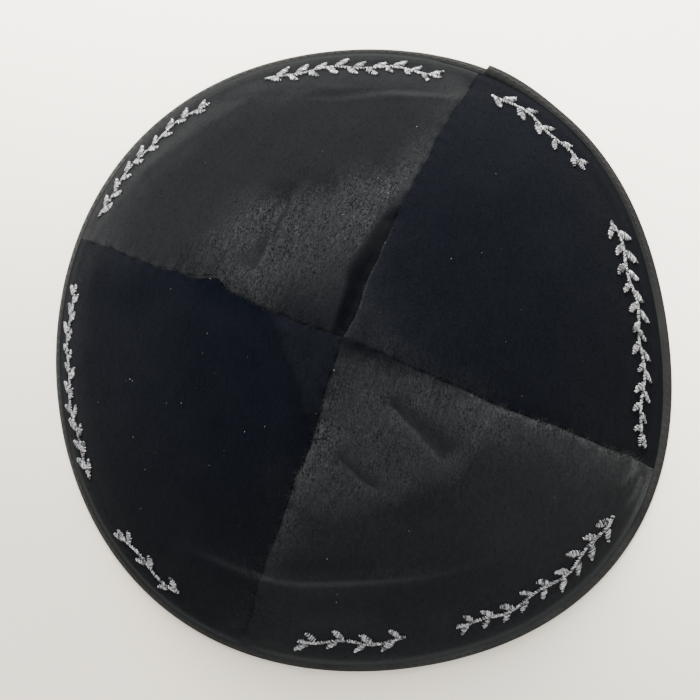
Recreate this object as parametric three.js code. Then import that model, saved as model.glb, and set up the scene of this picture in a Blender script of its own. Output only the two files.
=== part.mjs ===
// Four-panel velvet skullcap with a folded tape round its rim.
// Millimetres, +Z up, resting on z = 0, the front panel towards -Y.
// Plan angles are in degrees from +X towards +Y, seen from above.
import * as THREE from 'three';

// Driving sizes
const crownHeight = 50;
const rimRadius = 92.3;
const panelThickness = 1.6;
const seamGap = 0.3;
const seamDip = 0.6;       // how far the cloth rolls down into a seam
const seamRoll = 2.2;      // how wide that roll is
const crossing = new THREE.Vector2( 2.2, - 1.4 );   // plan place where the four seams meet

// Tape round the rim: a folded strip standing on its fold
const tape = { height: 3.3, thickness: 1, proud: 0.5, slit: 1.6, clearance: 0.3, foldRound: 0.35 };
const tapeLap = { end: 66.8, length: 17, rise: 1.1 };   // the tape's end lies over its start
const hem = { squeezedTo: 1, coveredHeight: 3.6, openHeight: 4.3, height: 4.6 };

// The rim isn't quite round: waves of the footprint's radius
const rimWaves = [
	{ lobes: 2, swell: 1, crestAt: 118 },
	{ lobes: 3, swell: 0.5, crestAt: 84 },
	{ lobes: 4, swell: 1.4, crestAt: 50 },
	{ lobes: 5, swell: 0.25, crestAt: 42 },
];

// Side wall by direction: slopes in degrees from level, band = plan width up to the shoulder
const walls = [
	{ at: 0, hemSlope: 46, wallSlope: 52, band: 13 },
	{ at: 45, hemSlope: 52, wallSlope: 45, band: 14 },
	{ at: 90, hemSlope: 54, wallSlope: 45, band: 14.5 },
	{ at: 135, hemSlope: 55, wallSlope: 48, band: 12 },
	{ at: 180, hemSlope: 57, wallSlope: 54, band: 11.5 },
	{ at: 225, hemSlope: 56, wallSlope: 49, band: 16.5 },
	{ at: 270, hemSlope: 55, wallSlope: 43, band: 22 },
	{ at: 315, hemSlope: 53, wallSlope: 46, band: 18 },
];
const foldRound = { hem: 1.2, shoulder: 3.5 };   // half widths over which the bends are eased

// The crown falls from the crossing as (distance)^fullness, fuller along the seams
const fullness = { mean: 1.85, seams: 0.1 };

// Seams in order round the cap: bow is the sideways swing at mid length, skew pulls it inwards
const seams = [
	{ name: 'right_to_back', rimAngle: 67.7, bow: 0.3, skew: 0 },
	{ name: 'back_to_left', rimAngle: 156.4, bow: - 0.7, skew: - 1.8 },
	{ name: 'left_to_front', rimAngle: 246.9, bow: 1.3, skew: 0 },
	{ name: 'front_to_right', rimAngle: 339, bow: - 0.9, skew: 0.3 },
];

// Panels between neighbouring seams, with the tone that the pile's lie gives each
const panels = [
	{ name: 'panel_back', seam: 0, color: 0x34363a },
	{ name: 'panel_left', seam: 1, color: 0x14161c },
	{ name: 'panel_front', seam: 2, color: 0x2e3033 },
	{ name: 'panel_right', seam: 3, color: 0x15181d },
];

// Soft dents and folds of the crown: a line in plan, its half width and its rise
const folds = [
	{ name: 'tuck_by_back_seam', from: [ 1, 2 ], to: [ 13, 31 ], halfWidth: 3.4, rise: - 1.3 },
	{ name: 'left_facet', from: [ - 17, 8 ], to: [ - 5, - 22 ], halfWidth: 5, rise: 0.9 },
	{ name: 'back_crease', from: [ - 14, 35 ], to: [ - 19, 23 ], halfWidth: 4, rise: - 0.8 },
	{ name: 'front_crease_right', from: [ 13, - 14 ], to: [ 29, - 37 ], halfWidth: 4, rise: - 1 },
	{ name: 'front_crease_left', from: [ - 3, - 33 ], to: [ 7, - 46 ], halfWidth: 4, rise: - 0.8 },
	{ name: 'left_seam_lift', from: [ - 25, 13 ], to: [ - 33, 17 ], halfWidth: 5, rise: 0.7 },
	{ name: 'back_shoulder_fold', from: [ - 30, 74 ], to: [ 30, 74 ], halfWidth: 4, rise: 0.5 },
	{ name: 'front_shoulder_fold', from: [ - 26, - 66 ], to: [ 24, - 70 ], halfWidth: 4.5, rise: 0.8 },
];

// Mesh fineness
const panelRows = 17;
const panelColumns = 18;
const tapeStations = 96;

const { sin, cos, tan, abs, PI } = Math;
const rad = THREE.MathUtils.degToRad;

function waveOf( angle ) {

	const swells = rimWaves.map( w => w.swell * cos( w.lobes * ( angle - rad( w.crestAt ) ) ) );
	return swells.reduce( ( sum, s ) => sum + s, 0 );

}

// Plan distance from the crossing to the foot of the cloth, where it would meet z = 0
function reach( angle ) {

	const toRim = new THREE.Vector2( cos( angle ), sin( angle ) );
	const footInset = tape.proud / sin( rad( wallAt( angle ).hemSlope ) );
	let distance = rimRadius;
	for ( let pass = 0; pass < 4; pass ++ ) {

		const p = toRim.clone().multiplyScalar( distance ).add( crossing );
		distance += rimRadius + waveOf( p.angle() ) - footInset - p.length();

	}

	return distance;

}

// The wall table eased between its rows
function wallAt( angle ) {

	const step = 2 * PI / walls.length;
	const place = THREE.MathUtils.euclideanModulo( angle / step, walls.length );
	const row = walls[ Math.floor( place ) ];
	const next = walls[ ( Math.floor( place ) + 1 ) % walls.length ];
	const share = ( 1 - cos( PI * ( place % 1 ) ) ) / 2;
	const mix = key => THREE.MathUtils.lerp( row[ key ], next[ key ], share );
	return { hemSlope: mix( 'hemSlope' ), wallSlope: mix( 'wallSlope' ), band: mix( 'band' ) };

}

// Eases a bend of slope from outer to inner at a plan inset
function ease( inset, bendAt, outerSlope, innerSlope, halfWidth ) {

	const nearness = Math.max( 0, 1 - abs( inset - bendAt ) / halfWidth );
	return ( innerSlope - outerSlope ) * halfWidth * nearness * nearness / 4;

}

// Height of the cloth's outer face: hem, side wall, then crown
function profile( angle, distance, full ) {

	const wall = wallAt( angle );
	const inset = full - distance;
	const hemRise = tan( rad( wall.hemSlope ) );
	const wallRise = tan( rad( wall.wallSlope ) );
	const hemInset = hem.height / hemRise;
	const shoulderHeight = hem.height + ( wall.band - hemInset ) * wallRise;
	const crownReach = full - wall.band;
	const power = fullness.mean + fullness.seams * cos( 4 * ( angle - rad( seams[ 0 ].rimAngle ) ) );
	const crownDrop = crownHeight - shoulderHeight;
	const crownRise = power * crownDrop / crownReach;
	let z;
	if ( inset < hemInset ) z = inset * hemRise;
	else if ( inset < wall.band ) z = hem.height + ( inset - hemInset ) * wallRise;
	else z = crownHeight - crownDrop * Math.pow( Math.max( distance, 0 ) / crownReach, power );
	return z + ease( inset, hemInset, hemRise, wallRise, foldRound.hem )
		+ ease( inset, wall.band, wallRise, crownRise, foldRound.shoulder );

}

// Rise of the folds at a plan point, faded out before the hem
function foldsAt( p, share ) {

	let rise = 0;
	for ( const fold of folds ) {

		const a = new THREE.Vector2( ...fold.from );
		const along = new THREE.Vector2( ...fold.to ).sub( a );
		const t = THREE.MathUtils.clamp( p.clone().sub( a ).dot( along ) / along.lengthSq(), 0, 1 );
		const away = p.distanceTo( a.addScaledVector( along, t ) ) / fold.halfWidth;
		rise += fold.rise * Math.exp( - away * away );

	}

	return rise * THREE.MathUtils.smoothstep( 1 - share, 0.06, 0.12 );

}

// Angle of a seam, seen from the crossing, at a share of the way out
function seamAngle( seam, share ) {

	const swing = seam.bow * sin( PI * share ) * ( 1 + seam.skew * cos( PI * share ) );
	return rad( seam.rimAngle ) + swing / ( rimRadius * Math.max( share, 0.01 ) );

}

function surfaceHeight( p ) {

	const fromCrossing = p.clone().sub( crossing );
	const angle = fromCrossing.angle();
	const distance = fromCrossing.length();
	const full = reach( angle );
	const share = distance / full;
	let nearest = Infinity;
	for ( const seam of seams ) {

		const off = abs( THREE.MathUtils.euclideanModulo( angle - seamAngle( seam, share ) + PI, 2 * PI ) - PI );
		nearest = Math.min( nearest, off * distance );

	}

	const dip = seamDip * Math.exp( - Math.pow( nearest / seamRoll, 2 ) );
	return profile( angle, distance, full ) + foldsAt( p, share )
		- dip * THREE.MathUtils.smoothstep( 1 - share, 0.05, 0.1 );

}

// A point on the cloth's outer face and the same point on its inner face
function clothPoints( p, thickness ) {

	const h = 0.4;
	const z = surfaceHeight( p );
	const dx = surfaceHeight( p.clone().add( new THREE.Vector2( h, 0 ) ) ) - z;
	const dy = surfaceHeight( p.clone().add( new THREE.Vector2( 0, h ) ) ) - z;
	const normal = new THREE.Vector3( - dx / h, - dy / h, 1 ).normalize();
	const outer = new THREE.Vector3( p.x, p.y, z );
	return [ outer, outer.clone().addScaledVector( normal, - thickness ) ];

}

// A point of the rim's section: depth under the cloth's outer face, and height
function rimPoint( angle, depth, z ) {

	const slope = rad( wallAt( angle ).hemSlope );
	const distance = reach( angle ) - z / tan( slope ) - depth / sin( slope );
	return new THREE.Vector3( crossing.x + distance * cos( angle ), crossing.y + distance * sin( angle ), z );

}

function signedVolume( points, faces ) {

	let six = 0;
	for ( const [ a, b, c ] of faces ) six += points[ a ].dot( points[ b ].clone().cross( points[ c ] ) );
	return six / 6;

}

function solidMesh( name, points, faces, color ) {

	const outward = signedVolume( points, faces ) > 0 ? faces : faces.map( ( [ a, b, c ] ) => [ a, c, b ] );
	const geometry = new THREE.BufferGeometry().setFromPoints( points );
	geometry.setIndex( outward.flat() );
	geometry.computeVertexNormals();
	const material = new THREE.MeshStandardMaterial( { color, roughness: 0.9, metalness: 0 } );
	const mesh = new THREE.Mesh( geometry, material );
	mesh.name = name;
	return mesh;

}

// One panel: a curved wall between two seams, closed round its edges
function makePanel( panel ) {

	const start = seams[ panel.seam ];
	const end = seams[ ( panel.seam + 1 ) % seams.length ];
	const turn = end.rimAngle > start.rimAngle ? 0 : 2 * PI;
	const halfCorner = ( rad( end.rimAngle - start.rimAngle ) + turn ) / 2;
	const bisector = rad( start.rimAngle ) + halfCorner;
	const spread = seamGap / 2 / sin( halfCorner );
	const away = new THREE.Vector2( cos( bisector ), sin( bisector ) ).multiplyScalar( spread );
	const points = [];
	const column = [];

	for ( let j = 0; j <= panelColumns; j ++ ) column.push( ( 1 - cos( PI * j / panelColumns ) ) / 2 );

	const rows = [];
	for ( let i = 0; i <= panelRows; i ++ ) {

		const row = [];
		const share = Math.pow( i / panelRows, 0.9 );
		for ( const v of i === 0 ? [ 0.5 ] : column ) {

			const angle = THREE.MathUtils.lerp( seamAngle( start, share ), seamAngle( end, share ) + turn, v );
			const out = new THREE.Vector2( cos( angle ), sin( angle ) );
			const full = reach( angle );
			const slope = rad( wallAt( angle ).hemSlope );
			const distance = share * ( full - hem.openHeight / tan( slope ) );
			const shift = away.clone().addScaledVector( out, - away.dot( out ) * share );
			const p = out.multiplyScalar( distance ).add( crossing ).add( shift );
			row.push( { angle, shift, ends: clothPoints( p, panelThickness ) } );

		}

		rows.push( row );

	}

	// Below the open cloth the hem is squeezed flat inside the tape
	const edge = rows[ panelRows ];
	const inTape = tape.thickness - tape.proud + tape.clearance;
	for ( const z of [ hem.coveredHeight, tape.thickness + tape.clearance ] ) {

		rows.push( edge.map( ( { angle, shift } ) => {

			const ends = [ inTape, inTape + hem.squeezedTo ].map( depth => {

				const p = rimPoint( angle, depth, z );
				return p.add( new THREE.Vector3( shift.x, shift.y, 0 ) );

			} );
			return { angle, shift, ends };

		} ) );

	}

	const index = rows.map( row => row.map( ( { ends } ) => points.push( ...ends ) - 2 ) );
	const at = ( i, j ) => index[ i ][ i === 0 ? 0 : j ];
	const faces = [];
	const quad = ( a, b, c, d ) => {

		faces.push( [ a, b, c ] );
		if ( a !== d ) faces.push( [ a, c, d ] );

	};

	const last = rows.length - 1;
	for ( let i = 0; i < last; i ++ ) {

		for ( let j = 0; j < panelColumns; j ++ ) {

			const [ a, b, c, d ] = [ at( i, j ), at( i + 1, j ), at( i + 1, j + 1 ), at( i, j + 1 ) ];
			quad( a, b, c, d );
			faces.push( [ a + 1, c + 1, b + 1 ] );
			if ( a !== d ) faces.push( [ a + 1, d + 1, c + 1 ] );

		}

		quad( at( i + 1, 0 ), at( i, 0 ), at( i, 0 ) + 1, at( i + 1, 0 ) + 1 );
		quad( at( i, panelColumns ), at( i + 1, panelColumns ), at( i + 1, panelColumns ) + 1,
			at( i, panelColumns ) + 1 );

	}

	for ( let j = 0; j < panelColumns; j ++ ) {

		quad( at( last, j + 1 ), at( last, j ), at( last, j ) + 1, at( last, j + 1 ) + 1 );

	}

	return solidMesh( panel.name, points, faces, panel.color );

}

// Extra thickness where the tape's end lies over its start
function lapRise( angle ) {

	const behind = THREE.MathUtils.euclideanModulo( rad( tapeLap.end ) - angle, 2 * PI );
	return tapeLap.rise * ( 1 - THREE.MathUtils.smoothstep( behind, 0, rad( tapeLap.length ) ) );

}

// Section of the folded tape as depths under the cloth's outer face and heights
function tapeSection( lap ) {

	const { height, thickness, proud, slit, foldRound: round } = tape;
	const outer = - proud - lap;
	const slitStart = thickness - proud;
	const slitEnd = slitStart + slit;
	const inner = slitEnd + thickness;
	return [
		[ outer + round, 0 ], [ outer, 2 * round ], [ outer, height - 1.4 * round ],
		[ outer + round, height ], [ slitStart - round / 2, height ], [ slitStart, height - round ],
		[ slitStart, thickness ], [ slitEnd, thickness ],
		[ slitEnd, height - round ], [ slitEnd + round / 2, height ], [ inner - round, height ],
		[ inner, height - 1.4 * round ], [ inner, 2 * round ], [ inner - round, 0 ],
	];

}

function makeBinding() {

	// Two stations close together make the step at the lapped end
	const stepHalf = rad( 0.15 );
	const angles = [ rad( tapeLap.end ) + stepHalf ];
	for ( let k = 1; k < tapeStations; k ++ ) angles.push( angles[ 0 ] + 2 * PI * k / tapeStations );
	angles.push( rad( tapeLap.end ) - stepHalf + 2 * PI );

	const points = [];
	const faces = [];
	const sides = tapeSection( 0 ).length;
	angles.forEach( ( angle, k ) => {

		const lap = k === 0 ? 0 : lapRise( angle );
		for ( const [ depth, z ] of tapeSection( lap ) ) points.push( rimPoint( angle, depth, z ) );
		const next = ( k + 1 ) % angles.length;
		for ( let s = 0; s < sides; s ++ ) {

			const t = ( s + 1 ) % sides;
			const [ a, b, c, d ] = [ k * sides + s, k * sides + t, next * sides + t, next * sides + s ];
			faces.push( [ a, b, c ], [ a, c, d ] );

		}

	} );
	return solidMesh( 'rim_binding', points, faces, 0x1c1e1e );

}

const cap = new THREE.Group();
for ( const panel of panels ) cap.add( makePanel( panel ) );
cap.add( makeBinding() );

// The origin is the middle of the footprint
const footprint = new THREE.Box3().setFromObject( cap ).getCenter( new THREE.Vector3() );
cap.position.set( - footprint.x, - footprint.y, 0 );

export default cap;
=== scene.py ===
import bpy, math
import numpy as np
from mathutils import Matrix, Vector


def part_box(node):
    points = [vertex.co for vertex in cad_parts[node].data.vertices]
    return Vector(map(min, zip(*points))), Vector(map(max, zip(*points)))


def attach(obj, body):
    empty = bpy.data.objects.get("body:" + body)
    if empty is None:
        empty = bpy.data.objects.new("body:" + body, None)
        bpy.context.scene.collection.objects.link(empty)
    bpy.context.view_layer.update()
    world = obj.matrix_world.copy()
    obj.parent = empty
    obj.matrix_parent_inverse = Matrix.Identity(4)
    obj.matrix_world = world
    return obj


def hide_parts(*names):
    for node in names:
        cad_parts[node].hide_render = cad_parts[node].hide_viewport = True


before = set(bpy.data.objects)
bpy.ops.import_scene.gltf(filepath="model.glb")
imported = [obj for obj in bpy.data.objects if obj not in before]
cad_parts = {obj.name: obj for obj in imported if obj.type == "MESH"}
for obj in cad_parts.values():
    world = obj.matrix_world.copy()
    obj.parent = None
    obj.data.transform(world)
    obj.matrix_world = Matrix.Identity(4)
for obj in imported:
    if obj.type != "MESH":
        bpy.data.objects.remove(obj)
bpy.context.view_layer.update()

mm = 0.001
tau = 2 * math.pi
dice = np.random.default_rng(46)


def table(columns, *rows):  # one dictionary for each row of values under the named columns
    return [dict(zip(columns.split(), row)) for row in rows]


# Form of the cap in millimetres, as the solids have it: plan angles from +X towards +Y about the crossing
cap = {
    "crownHeight": 50, "rimRadius": 92.3, "crossing": (2.2, -1.4), "fullness": 1.85, "fullerAtSeams": 0.1,
    "clothThickness": 1.6, "hemHeight": 4.6, "openHeight": 4.3, "hemRound": 1.2, "shoulderRound": 3.5,
    "foldsFadeOver": (0.04, 0.09),
}
rimWaves = table(
    "lobes swell crestAt",
    (2, 1, 118), (3, 0.5, 84), (4, 1.4, 50), (5, 0.25, 42),
)
# Every 45 degrees: slopes of the hem and the side wall, and the plan width up to the shoulder
walls = table(
    "hemSlope wallSlope band",
    (46, 52, 13), (52, 45, 14), (54, 45, 14.5), (55, 48, 12), (57, 54, 11.5), (56, 49, 16.5),
    (55, 43, 22), (53, 46, 18),
)
# Drift is a sideways swing in millimetres at shares of the way from the crossing to the rim
seams = table(
    "rimAngle bow skew drift",
    (67.7, 0.3, 0, ((0, -1), (0.1, -0.8), (0.16, -0.3), (0.22, 0))),
    (156.4, 0, 0, ((0.1, 0.5), (0.25, 1.1), (0.34, 0.3), (0.38, -0.6), (0.425, -2.3), (0.47, -0.8),
        (0.52, 0.3), (0.62, 0.8), (0.75, 0.5), (0.9, 0.3), (1, 0))),
    (246.9, 1.3, 0, ((0, 0), (0.15, 0.8), (0.3, 1.3), (0.36, 1.3), (0.43, 0.8), (0.55, 0.5), (0.68, 0),
        (1, 0))),
    (339, -0.9, 0.3, ((0, 0), (0.3, -0.4), (0.42, -1.2), (0.5, -1.2), (0.6, -0.8), (0.8, -0.8),
        (0.93, -0.3), (1, -1.1))),
)
# A line in plan, how wide the fold is to each side and how far it rises
folds = table(
    "start end halfWidth rise",
    # In the crown
    ((2.4, 1.2), (12.9, 30), 2.1, -1.8),
    ((-17.5, 7), (-6, -20), 3.6, 0.9),
    ((-15, 37), (-20, 23), 2.4, -0.8),
    ((16.5, -19.5), (28, -31), 2.6, -1),
    ((1.5, -33), (8.5, -39.5), 2.2, -0.7),
    ((-25, 13), (-33, 17), 5, 0.7),
    # Along the shoulder
    ((-77, 34), (-60, 53), 2.2, 0.45),
    ((-60, 53), (-29, 73), 2.2, 0.5),
    ((-11, 74), (31, 71), 1.8, 0.65),
    ((-23, -65), (25, -63.5), 2, 0.8),
    ((-45, -57), (-24, -65), 2.4, 0.6),
    ((-75, 28), (-73, 0), 3, 0.3),
    # Gathers at the right rim, then a pucker by the back crease
    ((79, -33), (74.5, -39), 1, 0.4),
    ((80.3, -37), (76, -45), 0.9, 0.4),
    ((83.5, -35), (79, -46), 1, 0.35),
    ((-16, 36), (-10, 44), 1.6, -0.4),
)
seamDips = table(
    "reach depth",
    (0.45, 0.28),
    (2.4, 0.35),
)
seamPuckers = {"every": 5.5, "share": 0.45, "swing": 2, "swingOver": 9}
seamWaver = {
    "sway": 0.22, "waves": 3.3, "parts": ((1, 1, 0), (0.6, 2.3, 1), (0.15, 5.1, 2)),
    "startsOver": (0.02, 0.2), "endsOver": (0, 0.1), "driftStartsOver": (0, 0.08),
}
ripples = {"broadRise": 0.28, "broadSize": 26, "fineRise": 0.1, "fineSize": 9}
puff = {"inset": 5.0, "halfWidth": 1.5, "rise": 0.4}  # cloth pinched by the tape

# Tape folded over the rim, and the row of stitches that holds it
tape = {
    "height": 3.3, "thickness": 1.0, "proud": 0.5, "slit": 1.6, "clearance": 0.3, "round": 0.35,
    "lapEnd": 66.8, "lapLength": 17, "lapRise": 1.1, "lapStep": 0.12, "lapAllowance": 12,
    "tops": (2.5, 2.85, 3.5, 2.65, 2.9, 3.1, 3.1, 3.0, 2.8, 2.3, 2.2, 2.45),
    # tones paint light and shade that varies round the rim
    "tones": (1.6, 0.75, 0.4, 0.45, 1.6, 2.4, 1.5, 1.1, 1.3, 1.9, 3.0, 2.4),
    "stations": 1150, "pucker": 0.07, "wobble": 0.05, "wobbleSize": 5, "wobbleAbove": 0.5,
    "stitchPitch": 2.6, "stitchLength": 1.9, "stitchThick": 0.16, "stitchBelowTop": 0.7,
    "stitchArch": (-0.14, 0.05, 0.1, 0.05, -0.14),
    "stitchDark": (0.003, 0.003, 0.003), "stitchLight": (0.016, 0.016, 0.015),
}


def aroundRim(angle, values):  # eased between values spaced evenly round the rim
    values = np.array(values)
    place = (angle / tau * len(values)) % len(values)
    row = place.astype(int)
    share = (1 - np.cos(math.pi * (place - row))) / 2
    return values[row] * (1 - share) + values[(row + 1) % len(values)] * share


def wallAt(angle, key):
    return aroundRim(angle, [wall[key] for wall in walls])


def hemSlopeAt(angle):
    return np.radians(wallAt(angle, "hemSlope"))


def fromCrossing(angle, distance):
    x0, y0 = cap["crossing"]
    return x0 + distance * np.cos(angle), y0 + distance * np.sin(angle)


def reachTable(angle):  # from the crossing to where the cloth would meet the ground
    inset = tape["proud"] / np.sin(hemSlopeAt(angle))
    distance = np.full_like(angle, cap["rimRadius"])
    for turn in range(4):
        x, y = fromCrossing(angle, distance)
        about = np.arctan2(y, x)
        wave = sum(w["swell"] * np.cos(w["lobes"] * (about - math.radians(w["crestAt"]))) for w in rimWaves)
        distance = distance + cap["rimRadius"] + wave - inset - np.hypot(x, y)
    return distance


angleGrid = np.linspace(0, tau, 1441)
reachGrid = reachTable(angleGrid)


def reach(angle):
    return np.interp(angle % tau, angleGrid, reachGrid)


def tapeTop(angle):
    return aroundRim(angle, tape["tops"])


def smoothStep(x, low, high):
    t = np.clip((x - low) / (high - low), 0, 1)
    return t * t * (3 - 2 * t)


def bell(away, halfWidth):
    return np.exp(-(away / halfWidth) ** 2)


def unit(vectors, least=0.0):
    return vectors / (np.linalg.norm(vectors, axis=-1, keepdims=True) + least)


def ease(inset, bendAt, outerSlope, innerSlope, halfWidth):
    nearness = np.maximum(0, 1 - abs(inset - bendAt) / halfWidth)
    return (innerSlope - outerSlope) * halfWidth * nearness ** 2 / 4


def profile(angle, distance, full):
    hemRise, wallRise = np.tan(hemSlopeAt(angle)), np.tan(np.radians(wallAt(angle, "wallSlope")))
    hemHeight, top, band = cap["hemHeight"], cap["crownHeight"], wallAt(angle, "band")
    inset = full - distance
    hemInset = hemHeight / hemRise
    drop = top - hemHeight - (band - hemInset) * wallRise
    crownReach = full - band
    nearSeams = np.cos(len(seams) * (angle - math.radians(seams[0]["rimAngle"])))
    power = cap["fullness"] + cap["fullerAtSeams"] * nearSeams
    crown = top - drop * (np.maximum(distance, 0) / crownReach) ** power
    side = hemHeight + (inset - hemInset) * wallRise
    z = np.where(inset < hemInset, inset * hemRise, np.where(inset < band, side, crown))
    z = z + ease(inset, hemInset, hemRise, wallRise, cap["hemRound"])
    return z + ease(inset, band, wallRise, power * drop / crownReach, cap["shoulderRound"])


def seamAngle(seam, share):
    swing = seam["bow"] * np.sin(math.pi * share) * (1 + seam["skew"] * np.cos(math.pi * share))
    waves = seamWaver["waves"] * share * tau + seam["rimAngle"]
    uneven = sum(size * np.sin(pace * waves + start) for size, pace, start in seamWaver["parts"])
    fade = smoothStep(share, *seamWaver["startsOver"]) * smoothStep(1 - share, *seamWaver["endsOver"])
    swing = swing + seamWaver["sway"] * uneven * fade
    drift = np.interp(share, *zip(*seam["drift"]))
    swing = swing + drift * smoothStep(share, *seamWaver["driftStartsOver"])
    return math.radians(seam["rimAngle"]) + swing / (cap["rimRadius"] * np.maximum(share, 0.01))


def seamAway(angle, share, distance, which=seams):
    nearest = np.full_like(distance, 1e3)
    for seam in which:
        off = abs((angle - seamAngle(seam, share) + math.pi) % tau - math.pi)
        nearest = np.minimum(nearest, np.where(off < 0.5 * math.pi, np.sin(off), 1) * distance)
    return nearest


def alongLine(x, y, start, end):  # share of the way along a line in plan, and how far the point is from it
    along = np.subtract(end, start)
    t = np.clip(((x - start[0]) * along[0] + (y - start[1]) * along[1]) / (along @ along), 0, 1)
    return t, np.hypot(x - start[0] - t * along[0], y - start[1] - t * along[1])


def nearLine(x, y, line):
    return bell(alongLine(x, y, line["start"], line["end"])[1], line["halfWidth"])


def softWaver(x, y, size):  # an uneven field from -1 to 1 with bumps about size across
    parts = ((1.0, 0.3, 0.4), (-0.5, 1.1, 2.1), (0.8, -0.9, 4.0), (1.7, 0.9, 1.3), (-1.2, 1.9, 5.2))
    pace, most = 2.2, 3.2
    return sum(np.sin((a * x + b * y) * pace / size + start) for a, b, start in parts) / most


def polar(x, y):
    dx, dy = x - cap["crossing"][0], y - cap["crossing"][1]
    angle, distance = np.arctan2(dy, dx) % tau, np.hypot(dx, dy)
    full = reach(angle)
    return angle, distance, full, distance / full


def capHeight(x, y):
    angle, distance, full, share = polar(x, y)
    rise = ripples["broadRise"] * softWaver(x, y, ripples["broadSize"])
    rise = rise + ripples["fineRise"] * softWaver(y, x, ripples["fineSize"])
    for fold in folds:
        rise = rise + fold["rise"] * nearLine(x, y, fold)
    away = seamAway(angle, share, distance)
    swing = seamPuckers["swing"] * np.sin(distance / seamPuckers["swingOver"])
    pucker = 1 + seamPuckers["share"] * np.sin(distance * tau / seamPuckers["every"] + swing)
    for dip in seamDips:
        rise = rise - dip["depth"] * pucker * bell(away, dip["reach"])
    rise = rise * smoothStep(1 - share, *cap["foldsFadeOver"])
    pinched = puff["rise"] * bell(full - distance - puff["inset"], puff["halfWidth"])
    return profile(angle, distance, full) + rise + pinched


def onCap(x, y):
    return np.stack([x, y, capHeight(x, y)], -1)


def capNormal(x, y, step=0.2):
    dx = (capHeight(x + step, y) - capHeight(x - step, y)) / (2 * step)
    dy = (capHeight(x, y + step) - capHeight(x, y - step)) / (2 * step)
    return unit(np.stack([-dx, -dy, np.ones_like(dx)], -1))


def rimPoint(angle, depth, z):  # a point of the rim's section: depth under the cloth's face, and height
    slope = hemSlopeAt(angle)
    x, y = fromCrossing(angle, reach(angle) - z / np.tan(slope) - depth / np.sin(slope))
    return np.stack([x, y, z + 0 * angle], -1)


def findShift():  # the origin is the middle of the footprint
    outer = rimPoint(angleGrid, -tape["proud"], 2 * tape["round"])
    low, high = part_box("rim_binding")
    return np.array([(low[k] + high[k]) / 2 / mm - (outer[:, k].min() + outer[:, k].max()) / 2
                     for k in (0, 1)] + [0])


shift = findShift()
print("cap form ready, shifted", np.round(shift, 3))


# Shader wiring: a socket that takes part in arithmetic
class Wire:
    def __init__(self, finish, socket):
        self.finish = finish
        self.socket = socket

    def join(self, operation, *terms):
        return self.finish.add("ShaderNodeMath", {"operation": operation}, dict(enumerate(terms)))

    def sine(self):  # from 0 to 1
        return self.join("SINE", self) * 0.5 + 0.5

    def other(self, output):
        return Wire(self.finish, self.socket.node.outputs[output])

    def __add__(self, other):
        return self.join("ADD", self, other)

    def __radd__(self, other):
        return self.join("ADD", other, self)

    def __sub__(self, other):
        return self.join("SUBTRACT", self, other)

    def __rsub__(self, other):
        return self.join("SUBTRACT", other, self)

    def __mul__(self, other):
        return self.join("MULTIPLY", self, other)

    def __rmul__(self, other):
        return self.join("MULTIPLY", other, self)

    def __pow__(self, other):
        return self.join("POWER", self, other)


class Finish:
    def __init__(self, name, constants):
        self.material = bpy.data.materials.new(name)
        self.material.use_nodes = True
        self.tree = self.material.node_tree
        self.shader = self.tree.nodes["Principled BSDF"]
        for socket, value in constants.items():
            self.shader.inputs[socket].default_value = value

    def add(self, kind, settings=None, sockets=None, out=0):
        node = self.tree.nodes.new(kind)
        for key, value in (settings or {}).items():
            setattr(node, key, value)
        for key, value in (sockets or {}).items():
            if isinstance(value, Wire):
                self.tree.links.new(value.socket, node.inputs[key])
            else:
                node.inputs[key].default_value = value
        return Wire(self, node.outputs[out])

    def feed(self, socket, wire):
        self.tree.links.new(wire.socket, self.shader.inputs[socket])

    def paint(self, share, dark, light):
        settings = {"data_type": "RGBA", "clamp_factor": False}
        sockets = {0: share, 6: (*dark, 1), 7: (*light, 1)}
        self.feed("Base Color", self.add("ShaderNodeMix", settings, sockets, out=2))

    def bump(self, height, strength, distance):
        sockets = {"Height": height, "Strength": strength, "Distance": distance}
        self.feed("Normal", self.add("ShaderNodeBump", None, sockets))

    def clamp(self, value, least, most):
        return self.add("ShaderNodeClamp", None, {"Value": value, "Min": least, "Max": most})

    def fromVertices(self, name, out="Fac"):
        return self.add("ShaderNodeAttribute", {"attribute_name": name}, out=out)

    def place(self):
        return self.add("ShaderNodeTexCoord", out="Object")

    def turned(self, degrees, scales):  # the object's own place, turned about Z and stretched
        sockets = {"Vector": self.place(), "Rotation": (0, 0, math.radians(degrees))}
        turned = self.add("ShaderNodeMapping", {"vector_type": "POINT"}, sockets)
        return self.add("ShaderNodeVectorMath", {"operation": "MULTIPLY"}, {0: turned, 1: scales})

    def noise(self, scale, detail=2.0, roughness=0.5, vector=None):
        place = vector or self.place()
        sockets = {"Vector": place, "Scale": scale, "Detail": detail, "Roughness": roughness}
        return self.add("ShaderNodeTexNoise", None, sockets)


def putInScene(name, data):
    thing = bpy.data.objects.new(name, data)
    bpy.context.scene.collection.objects.link(thing)
    return thing


def addPiece(name, points, faces, finishes, replaced=(), values=None, materialIndex=None):
    mesh = bpy.data.meshes.new(name)
    mesh.from_pydata(((np.asarray(points) + shift) * mm).tolist(), [], faces)
    for key, value in (values or {}).items():
        kind, field = ("FLOAT", "value") if np.ndim(value) == 1 else ("FLOAT_VECTOR", "vector")
        layer = mesh.attributes.new(key, kind, "POINT")
        layer.data.foreach_set(field, np.asarray(value, np.float32).ravel())
    for finish in finishes:
        mesh.materials.append(finish.material)
    if materialIndex is not None:
        mesh.polygons.foreach_set("material_index", np.asarray(materialIndex, np.int32))
    mesh.polygons.foreach_set("use_smooth", [True] * len(mesh.polygons))
    mesh.update()
    piece = putInScene(name, mesh)
    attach(piece, "root")
    if replaced:
        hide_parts(*replaced)
    return piece
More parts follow.
